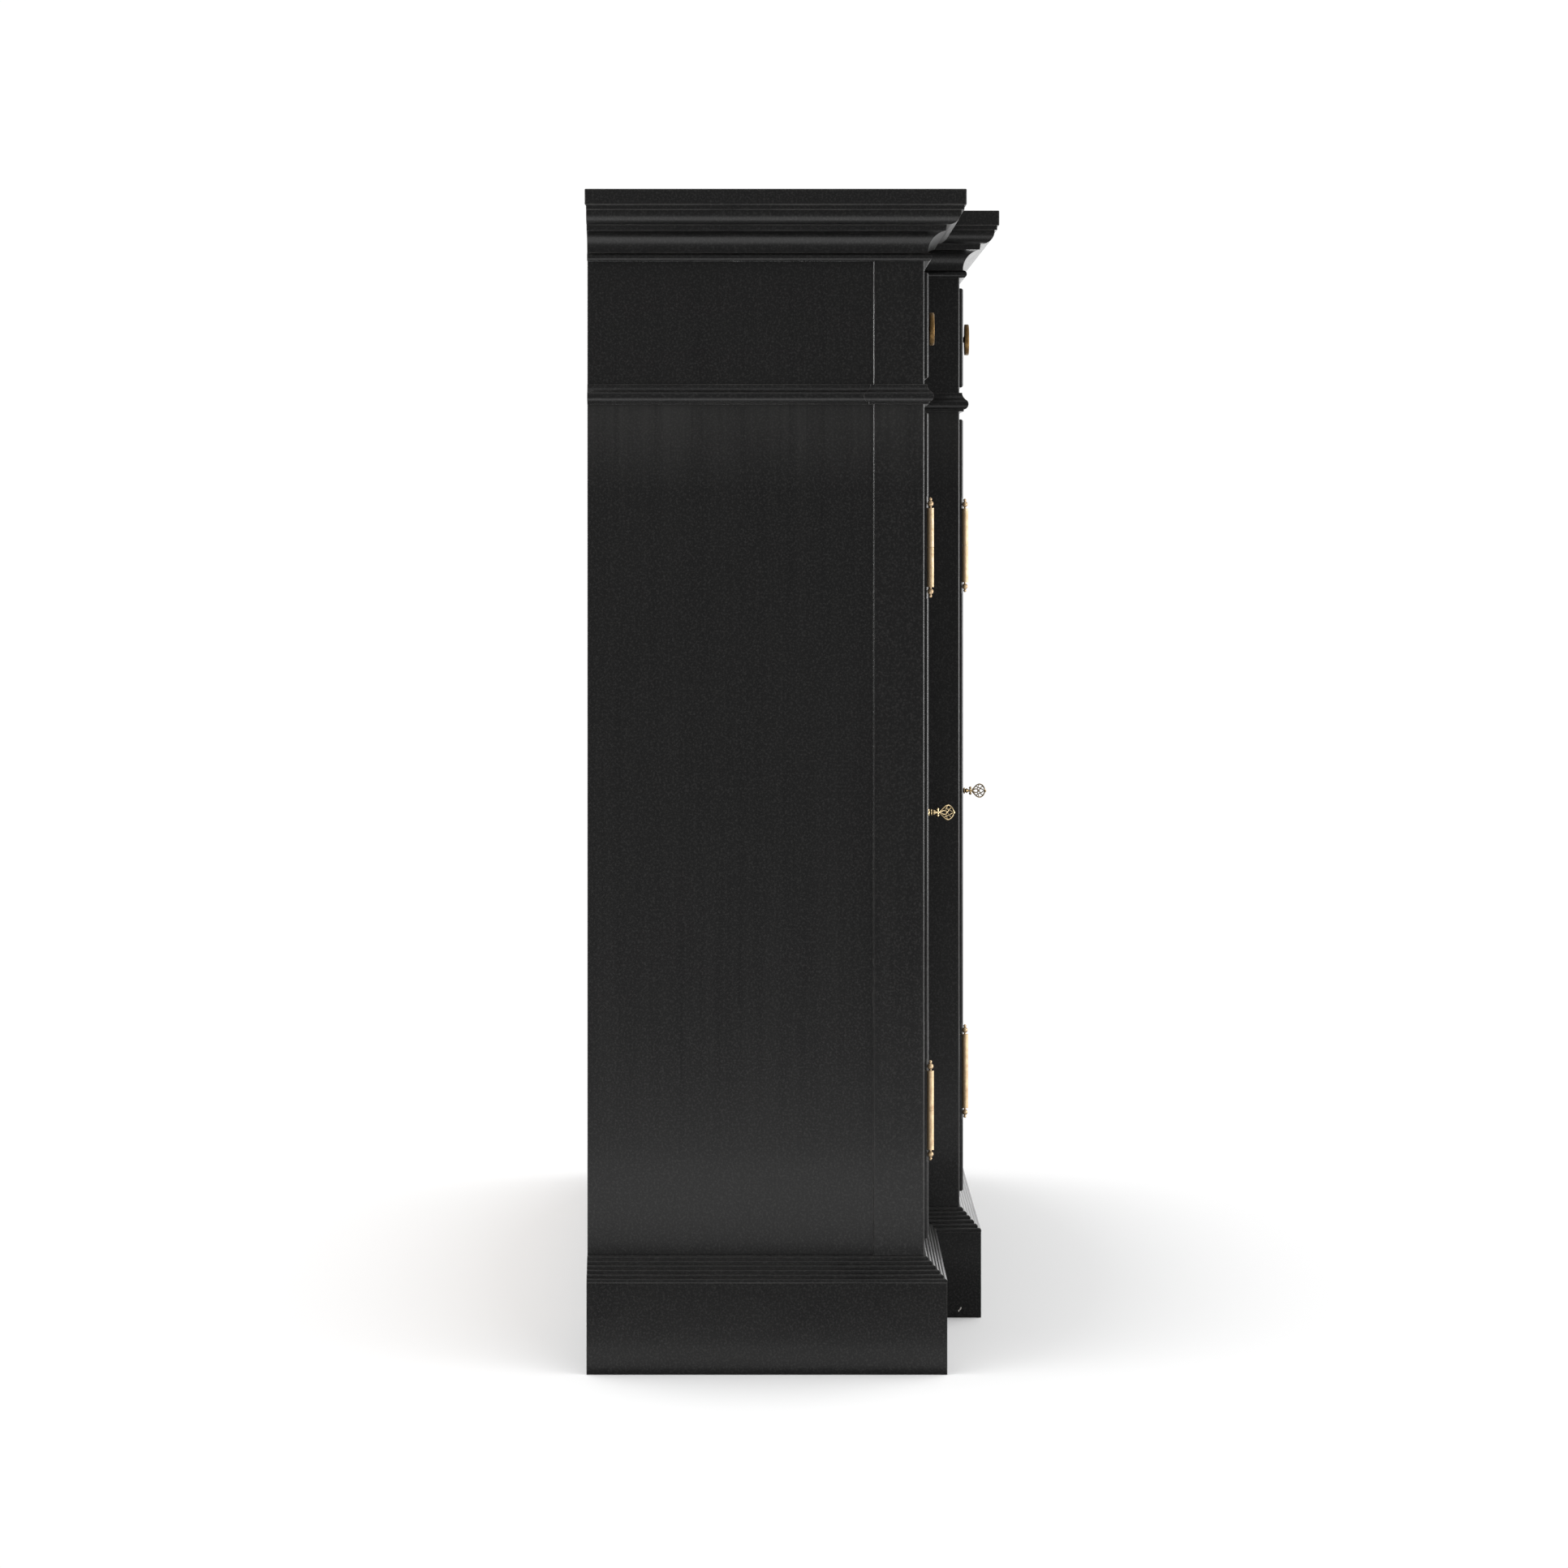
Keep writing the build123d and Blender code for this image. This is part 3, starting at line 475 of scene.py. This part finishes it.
def finish_for(name):
    """The material for a CAD node, with brush lines or grain along its length."""
    slot = slots[name]
    if slot == "black_paint":
        if name in MOULDED:
            return moulding_paint
        return paints[X] if name in LONG_X or name.endswith("drawer_front") else paints[Z]
    if slot == "inside_wood":
        if name in LONG_X:
            return woods[X]
        return woods[Y] if name == "drawer_guides" or name.endswith("drawer_box") else woods[Z]
    if "hinge" in name:
        return hinge_brass
    return {"brass": brass, "aged_brass": aged_brass, "steel": steel}[slot]


def soften(piece, width, angle=SHARP_ANGLE):
    """Joins the faces of a CAD node where they meet, and rounds its sharp edges a little."""
    weld = piece.modifiers.new("weld", "WELD")
    weld.merge_threshold = WELD_DISTANCE
    bevel = piece.modifiers.new("edges", "BEVEL")
    bevel.width = width
    bevel.segments = 2
    bevel.limit_method = "ANGLE"
    bevel.angle_limit = math.radians(angle)
    bevel.miter_outer = "MITER_SHARP"
    normals = piece.modifiers.new("normals", "WEIGHTED_NORMAL")
    normals.keep_sharp = False
    normals.weight = 100


EDGE_WIDTHS = {
    "top_board": 1.2 * MM, "corner_posts": 1.4 * MM, "center_posts": 1.4 * MM,
    "face_rails": 0.5 * MM, "face_stiles": 0.5 * MM, "left_shelf": 0.6 * MM,
    "right_shelf": 0.6 * MM, "center_shelf": 0.6 * MM, "divider_boards": 0.6 * MM,
    "bottom_boards": 0.6 * MM,
}
BOX_EDGE = PANEL_EDGE = 0.8 * MM

for name, node in nodes.items():
    node.data.materials.clear()
    node.data.materials.append(finish_for(name))
    if name in EDGE_WIDTHS:
        soften(node, EDGE_WIDTHS[name])
    elif name.endswith("_drawer_box"):
        soften(node, BOX_EDGE)
    elif name.endswith("_door_panel"):
        soften(node, PANEL_EDGE, PANEL_ANGLE)


# Mesh helpers for the pieces that are added

def new_piece(name, body, material, build, smooth=True):
    """A mesh piece made by build(bm), which rides on a body."""
    mesh = bpy.data.meshes.new(name)
    bm = bmesh.new()
    build(bm)
    bmesh.ops.recalc_face_normals(bm, faces=bm.faces)
    bm.to_mesh(mesh)
    bm.free()
    mesh.materials.append(material)
    if smooth:
        mesh.shade_smooth()
        mesh.set_sharp_from_angle(angle=math.radians(SHARP_ANGLE))
    piece = bpy.data.objects.new(name, mesh)
    bpy.context.scene.collection.objects.link(piece)
    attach(piece, body)
    return piece


def ring_points(centre, side, up, radius, steps):
    """Points evenly round a circle."""
    angles = (2 * math.pi * k / steps for k in range(steps))
    return [centre + (side * math.cos(a) + up * math.sin(a)) * radius for a in angles]


def strip(bm, one, two):
    """Faces that join two closed rings of vertices."""
    count = len(one)
    for k in range(count):
        j = (k + 1) % count
        bm.faces.new((one[k], one[j], two[j], two[k]))


def caps(bm, first, last):
    """Faces that close both ends of a row of rings."""
    bm.faces.new(list(reversed(first)))
    bm.faces.new(last)


def lathe(bm, origin, axis, profile, steps):
    """A turned solid: profile is (distance along the axis, radius) from one end to the other."""
    axis = Vector(axis).normalized()
    side = axis.orthogonal().normalized()
    up = axis.cross(side)
    rings = []
    for along, radius in profile:
        centre = Vector(origin) + axis * along
        rings.append([bm.verts.new(p) for p in ring_points(centre, side, up, radius, steps)])
    for one, two in zip(rings, rings[1:]):
        strip(bm, one, two)
    caps(bm, rings[0], rings[-1])


def smooth_line(points, closed, steps=8):
    """Points along a curve that passes through every given point."""
    count = len(points)
    out = []
    for i in range(count if closed else count - 1):
        if closed:
            a, b, c, d = (points[(i + k) % count] for k in (-1, 0, 1, 2))
        else:
            a, b, c, d = (points[min(max(i + k, 0), count - 1)] for k in (-1, 0, 1, 2))
        for k in range(steps):
            t = k / steps
            out.append(0.5 * (2 * b + (c - a) * t + (2 * a - 5 * b + 4 * c - d) * t * t
                              + (3 * b - a - 3 * c + d) * t ** 3))
    if not closed:
        out.append(points[-1].copy())
    return out


def tube(bm, points, radius, flat, closed=False, sides=8):
    """A wire along points that lie in a plane across flat. radius may be a number or a list."""
    line = smooth_line(points, closed)
    count = len(line)
    flat = Vector(flat).normalized()
    rings = []
    for i, at in enumerate(line):
        before = line[(i - 1) % count] if closed else line[max(i - 1, 0)]
        after = line[(i + 1) % count] if closed else line[min(i + 1, count - 1)]
        along = (after - before).normalized()
        across = along.cross(flat).normalized()
        size = radius
        if isinstance(radius, (list, tuple)):
            share = i / (count - 1) * (len(radius) - 1)
            k = min(int(share), len(radius) - 2)
            size = radius[k] + (radius[k + 1] - radius[k]) * (share - k)
        rings.append([bm.verts.new(p) for p in ring_points(at, across, flat, size, sides)])
    for i in range(count if closed else count - 1):
        strip(bm, rings[i], rings[(i + 1) % count])
    if not closed:
        caps(bm, rings[0], rings[-1])


def ball(bm, centre, radius):
    bmesh.ops.create_uvsphere(
        bm, u_segments=16, v_segments=10, radius=radius, matrix=Matrix.Translation(centre),
    )


def prism(bm, outline, depth):
    """A flat outline pushed along a vector."""
    low = [bm.verts.new(p) for p in outline]
    high = [bm.verts.new(Vector(p) + Vector(depth)) for p in outline]
    count = len(outline)
    bm.faces.new(low)
    bm.faces.new(list(reversed(high)))
    for k in range(count):
        j = (k + 1) % count
        bm.faces.new((low[k], high[k], high[j], low[j]))


SCREW_STEPS = 24
SLOT_FLOOR = 0.25
SLOT_SHARE = 0.16
HEAD_SHARE = 0.96


def screw(bm, place, normal, radius, proud, turn):
    """The head of a slotted screw that stands proud by this much: a disc and two half heads.

    The slot is SLOT_SHARE of the head wide and leaves SLOT_FLOOR of its height.
    """
    normal = Vector(normal).normalized()
    side = Matrix.Rotation(turn, 3, normal) @ normal.orthogonal().normalized()
    up = normal.cross(side)
    place = Vector(place)
    floor = place + normal * proud * SLOT_FLOOR
    disc = ring_points(floor, side, up, radius, SCREW_STEPS)
    prism(bm, [p - normal * proud for p in disc], normal * proud)
    limit = math.asin(SLOT_SHARE)
    steps = SCREW_STEPS // 2
    for turned in (0, math.pi):
        arc = [limit + turned + (math.pi - 2 * limit) * k / steps for k in range(steps + 1)]
        half = [place + (side * math.cos(a) + up * math.sin(a)) * radius * HEAD_SHARE for a in arc]
        prism(bm, half, normal * proud)


# Keys with a pierced, scrolled bow

# Points are (millimetres behind the tip of the bow, millimetres above the key's axis). The outline
# is given for its upper half, and the wires inside it for one side.
BOW_OUTLINE = (
    (18.4, 0.6), (15.6, 3.9), (12.0, 7.3), (8.4, 8.35), (5.0, 6.6), (2.9, 3.4), (2.0, 0.0),
)
BOW_SCROLL = ((17.6, 0.7), (14.2, 2.2), (11.0, 1.6), (8.6, -1.6), (6.6, -4.6), (4.4, -5.6))
BOW_LEAF = ((13.4, 5.6), (10.6, 4.2), (7.6, 3.0), (4.6, 1.3), (2.6, 0.3))
BOW_CROSS = ((12.2, 1.9), (10.8, 4.4), (9.6, 7.4))
OUTLINE_WIRE = 0.85
SCROLL_WIRE = (0.85, 0.62, 0.58)
LEAF_WIRE = (0.55, 0.68, 0.55)
CROSS_WIRE = 0.52
LUG_AT, LUG_RISE, LUG_RADIUS = 20.7, 3.6, 1.75
LUG_STEM = ((0, 1.2), (2.4, 1.2))
LUG_STEPS, SHAFT_STEPS = 12, 40
# Small balls: behind the tip, above the axis, radius
BOW_BALLS = ((10.6, 0, 1.25), (1.55, -0.4, 1.5))
# Turned neck and bell: behind the tip, radius
KEY_TURNING = (
    (17.4, 1.0), (19.0, 1.45), (20.3, 1.5), (21.6, 1.3), (22.2, 1.55), (23.4, 2.1), (24.8, 2.85),
    (25.7, 3.35), (26.1, 3.2), (26.3, 2.3), (26.8, 2.1), (27.3, 2.5), (27.6, 3.7), (28.1, 4.0),
    (28.9, 4.0), (29.4, 3.7), (29.6, 2.6), (30.0, 2.4), (30.4, 2.8), (30.7, 4.2), (31.2, 4.6),
    (32.4, 4.65), (33.5, 4.5), (34.0, 4.0), (34.2, 2.7), (35.4, 2.4),
)
SHAFT_END = ((0.6, 2.4), (0.0, 1.9))
# The bit: before the end of the shaft, above the axis
BIT_OUTLINE = (
    (0.4, 0), (5.0, 0), (5.0, -6.5), (3.6, -6.5), (3.6, -5.0), (2.0, -5.0), (2.0, -6.5),
    (0.4, -6.5),
)
BIT_THICKNESS = 2.5


def build_key(bm, x, tip, z, bit_end):
    """A key that points into the door along +Y. tip is the front of its bow."""

    def at(from_tip, rise):
        return Vector((x, tip + from_tip * MM, z + rise * MM))

    def wire(points, radius, mirror=1, **how):
        radius = radius * MM if isinstance(radius, float) else [r * MM for r in radius]
        tube(bm, [at(d, h * mirror) for d, h in points], radius, (1, 0, 0), **how)

    lower_half = tuple((d, -h) for d, h in reversed(BOW_OUTLINE[:-1]))
    wire(BOW_OUTLINE + lower_half, OUTLINE_WIRE, closed=True, sides=10)
    for side in (1, -1):
        wire(BOW_SCROLL, SCROLL_WIRE, side)
        wire(BOW_LEAF, LEAF_WIRE, side)
        wire(BOW_CROSS, CROSS_WIRE, side)
        ball(bm, at(LUG_AT, LUG_RISE * side), LUG_RADIUS * MM)
        stem = [(d * MM, r * MM) for d, r in LUG_STEM]
        lathe(bm, at(LUG_AT, 0), (0, 0, side), stem, LUG_STEPS)
    for from_tip, rise, radius in BOW_BALLS:
        ball(bm, at(from_tip, rise), radius * MM)
    shaft_end = (bit_end - tip) / MM
    turned = KEY_TURNING + tuple((shaft_end - d, r) for d, r in SHAFT_END)
    lathe(bm, at(0, 0), (0, 1, 0), [(d * MM, r * MM) for d, r in turned], SHAFT_STEPS)
    half_bit = Vector((BIT_THICKNESS / 2 * MM, 0, 0))
    prism(bm, [at(shaft_end - d, h) - half_bit for d, h in BIT_OUTLINE], 2 * half_bit)


for side in ("left", "center", "right"):
    low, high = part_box(side + "_key")
    middle = (low + high) / 2
    # The centre key takes the darker copy of the key brass: painted shade.
    key = new_piece(
        side + "_key_turned", side + "_key",
        dark_key_brass if side == "center" else key_brass,
        lambda bm: build_key(bm, middle.x, low.y, middle.z, high.y),
    )
    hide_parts(side + "_key")


# Turned knobs

# Millimetres behind the front of the knob, radius
KNOB = (
    (0.25, 0.0), (0.25, 2.6), (0.6, 3.6), (0.8, 4.6), (0.85, 12.4), (0.7, 13.6), (0.2, 14.4),
    (0.0, 15.4), (0.0, 17.4), (0.15, 18.2), (0.5, 18.75), (1.1, 19.0), (4.9, 19.0), (5.35, 18.8),
    (5.6, 18.3), (5.6, 7.0), (5.9, 4.6), (6.5, 3.4), (7.4, 3.0), (10.6, 3.0), (11.1, 3.3),
    (11.3, 4.1), (11.6, 4.3), (11.65, 2.0),
)
LEAST_RADIUS = 0.05
KNOB_STEPS = 72
knob_profile = [(d * MM, max(r, LEAST_RADIUS) * MM) for d, r in KNOB]

for name in [n for n in nodes if n.endswith("_drawer_knob")]:
    low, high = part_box(name)
    middle = (low + high) / 2
    drawer = name.removesuffix("_knob")
    knob = new_piece(
        name + "_turned", drawer, aged_brass,
        lambda bm: lathe(bm, (middle.x, low.y, middle.z), (0, 1, 0), knob_profile, KNOB_STEPS),
    )
    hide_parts(name)


# Panel mouldings: a small ovolo in the corner between each door's frame and its panel

# Millimetres in from the frame, millimetres proud of the panel
STICKING = (
    (0, 0), (0, 7.4), (1.2, 7.6), (1.4, 6.9), (3.2, 6.5), (5.0, 5.4), (6.4, 3.6), (7.1, 1.9),
    (8.3, 1.7), (8.5, 0.0),
)
DOOR_STILE = 57 * MM
DOOR_RAIL = 64 * MM
PANEL_SET_BACK = 11 * MM


def build_sticking(bm, low, high):
    """Mitred runs of the profile round the inside of a door frame."""
    rings = []
    for inward, rise in STICKING:
        x0 = low.x + DOOR_STILE + inward * MM
        x1 = high.x - DOOR_STILE - inward * MM
        z0 = low.z + DOOR_RAIL + inward * MM
        z1 = high.z - DOOR_RAIL - inward * MM
        y = low.y + PANEL_SET_BACK - rise * MM
        rings.append([bm.verts.new((x, y, z)) for x, z in ((x0, z0), (x1, z0), (x1, z1), (x0, z1))])
    for i, one in enumerate(rings):
        strip(bm, one, rings[(i + 1) % len(rings)])


for door in ("left_door", "center_left_door", "center_right_door", "right_door"):
    low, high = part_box(door + "_frame")
    new_piece(
        door + "_sticking", door, moulding_paint,
        lambda bm: build_sticking(bm, low, high),
    )


# Screws in the hinge leaves, and paint on the frame leaves. Every door has two hinges: LEAF_HALF
# is half the height of a leaf, and FINIAL is how far the upper hinge's finial stands above it.

LEAF_HALF = 44.5 * MM
FINIAL = 11.92 * MM
LEAF_GAP = 0.1 * MM
LEAF_REACH = 1.6 * MM
LEAF_SCREW = 2.9 * MM
LEAF_SCREW_PROUD = 0.08 * MM
# Above the middle of the leaf, before its back edge
LEAF_SCREWS = ((-31 * MM, 6.5 * MM), (0, 9.5 * MM), (31 * MM, 6.5 * MM))
OVERPAINT_FROM, OVERPAINT_TO = 3.7 * MM, 7.9 * MM
OVERPAINT_THICKNESS = 0.06 * MM

for joint in frame["joints"]:
    if not joint["name"].endswith("_hinge"):
        continue
    door = joint["child"]
    axis = Vector(joint["pos_m"])
    toward = 1 if joint["axis"][2] < 0 else -1
    low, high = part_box(door + "_hinge_leaves")
    heights = (low.z + LEAF_HALF, high.z - FINIAL - LEAF_HALF)

    def build_screws(bm, facing):
        face_x = axis.x - facing * LEAF_GAP
        for z in heights:
            for i, (rise, inset) in enumerate(LEAF_SCREWS):
                place = (face_x, high.y - inset, z + rise)
                turn = 0.5 + 1.3 * i + 7 * z
                screw(bm, place, (facing, 0, 0), LEAF_SCREW, LEAF_SCREW_PROUD, turn)

    def build_overpaint(bm):
        """Paint over the part of each frame leaf that shows between the post and the barrel."""
        x = axis.x - toward * LEAF_REACH
        y0, y1 = axis.y + OVERPAINT_FROM, axis.y + OVERPAINT_TO
        for z in heights:
            z0, z1 = z - LEAF_HALF, z + LEAF_HALF
            corners = ((x, y0, z0), (x, y1, z0), (x, y1, z1), (x, y0, z1))
            prism(bm, corners, (-toward * OVERPAINT_THICKNESS, 0, 0))

    new_piece(
        door + "_leaf_overpaint", "root", paints[Z], build_overpaint, smooth=False,
    )
    new_piece(
        door + "_leaf_screws", door, brass, lambda bm: build_screws(bm, -toward),
    )
    new_piece(
        door + "_frame_leaf_screws", "root", brass, lambda bm: build_screws(bm, toward),
    )


# Screws in the locks. The places are shares of the lock's width and height.

LOCK_SCREWS = ((0.09, 0.1), (0.91, 0.1), (0.09, 0.9), (0.91, 0.9))
LOCK_SCREW = 2.2 * MM
LOCK_SCREW_PROUD = 0.5 * MM

for side in ("left", "center", "right"):
    low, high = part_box(side + "_lock")
    body = "center_left_door" if side == "center" else side + "_door"

    def build_lock_screws(bm):
        for i, (x, z) in enumerate(LOCK_SCREWS):
            place = (low.x + (high.x - low.x) * x, high.y, low.z + (high.z - low.z) * z)
            turn = 0.4 + 1.1 * i
            screw(bm, place, (0, 1, 0), LOCK_SCREW, LOCK_SCREW_PROUD, turn)

    new_piece(side + "_lock_screws", body, brass, build_lock_screws)


# Screws round the edges of the three back panels

BACK_SCREW = 3.4 * MM
BACK_SCREW_PROUD = 0.7 * MM
BACK_SCREW_INSET = 12 * MM
BACK_SCREW_END = 30 * MM
BACK_SCREW_ROWS = 7
BACK_SCREW_SPACING = 160 * MM
PARTITION_THICKNESS = 18 * MM


def build_back_screws(bm):
    """Seven screws up each side of a panel, and a row along its foot and its head."""
    low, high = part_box("back_panels")
    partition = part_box("partitions")[1].x
    inner = partition - PARTITION_THICKNESS
    places = []
    for x0, x1 in ((low.x, -partition), (-inner, inner), (partition, high.x)):
        first, last = low.z + BACK_SCREW_END, high.z - BACK_SCREW_END
        for k in range(BACK_SCREW_ROWS):
            z = first + (last - first) * k / (BACK_SCREW_ROWS - 1)
            places += [(x0 + BACK_SCREW_INSET, z), (x1 - BACK_SCREW_INSET, z)]
        across = max(2, round((x1 - x0) / BACK_SCREW_SPACING))
        for k in range(1, across):
            x = x0 + (x1 - x0) * k / across
            places += [(x, low.z + BACK_SCREW_INSET), (x, high.z - BACK_SCREW_INSET)]
    for i, (x, z) in enumerate(places):
        turn = 0.3 + 1.7 * i
        screw(bm, (x, high.y, z), (0, 1, 0), BACK_SCREW, BACK_SCREW_PROUD, turn)


new_piece("back_screws", "root", steel, build_back_screws)


# Dovetails where the drawer sides meet the fronts

TAILS = 4
TAIL_LENGTH = 13 * MM
TAIL_PROUD = 0.12 * MM
# Share of the spacing, at the drawer front and at the back of the tail
TAIL_WIDE, TAIL_NARROW = 0.62, 0.38


def build_dovetails(bm, low, high):
    """Tails in the outer face of both sides, just behind the drawer front."""
    spacing = (high.z - low.z) / TAILS
    wide, narrow = spacing / 2 * TAIL_WIDE, spacing / 2 * TAIL_NARROW
    back = low.y + TAIL_LENGTH
    for x, out in ((low.x, -1), (high.x, 1)):
        for k in range(TAILS):
            z = low.z + spacing * (k + 0.5)
            tail = (
                (x, low.y, z - wide), (x, back, z - narrow), (x, back, z + narrow),
                (x, low.y, z + wide),
            )
            prism(bm, tail, (out * TAIL_PROUD, 0, 0))


for name in [n for n in nodes if n.endswith("_drawer_box")]:
    low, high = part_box(name)
    drawer = name.removesuffix("_box")
    new_piece(
        drawer + "_dovetails", drawer, woods[Z],
        lambda bm: build_dovetails(bm, low, high), smooth=False,
    )


# A nick in the paint of the centre section's plinth, low on its left return

# Outlines of the two flakes: (y, z) in millimetres
NICK = (
    ((-189.2, 6.6), (-190.1, 6.9), (-190.5, 8.2), (-190.2, 9.3), (-189.3, 8.9), (-188.9, 7.6)),
    ((-190.9, 8.4), (-192.2, 9.6), (-193.0, 11.6), (-192.3, 12.4), (-191.2, 10.9), (-190.6, 9.6)),
)
NICK_THICKNESS = 0.12 * MM
PLINTH_PROJECTION = 25 * MM


def build_nick(bm):
    """Two slivers of a chipped-off flake, next to each other."""
    face_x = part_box("center_posts")[0].x - PLINTH_PROJECTION
    for outline in NICK:
        prism(bm, [(face_x, y * MM, z * MM) for y, z in outline], (-NICK_THICKNESS, 0, 0))


new_piece("plinth_nick", "root", bare_spot, build_nick, smooth=False)
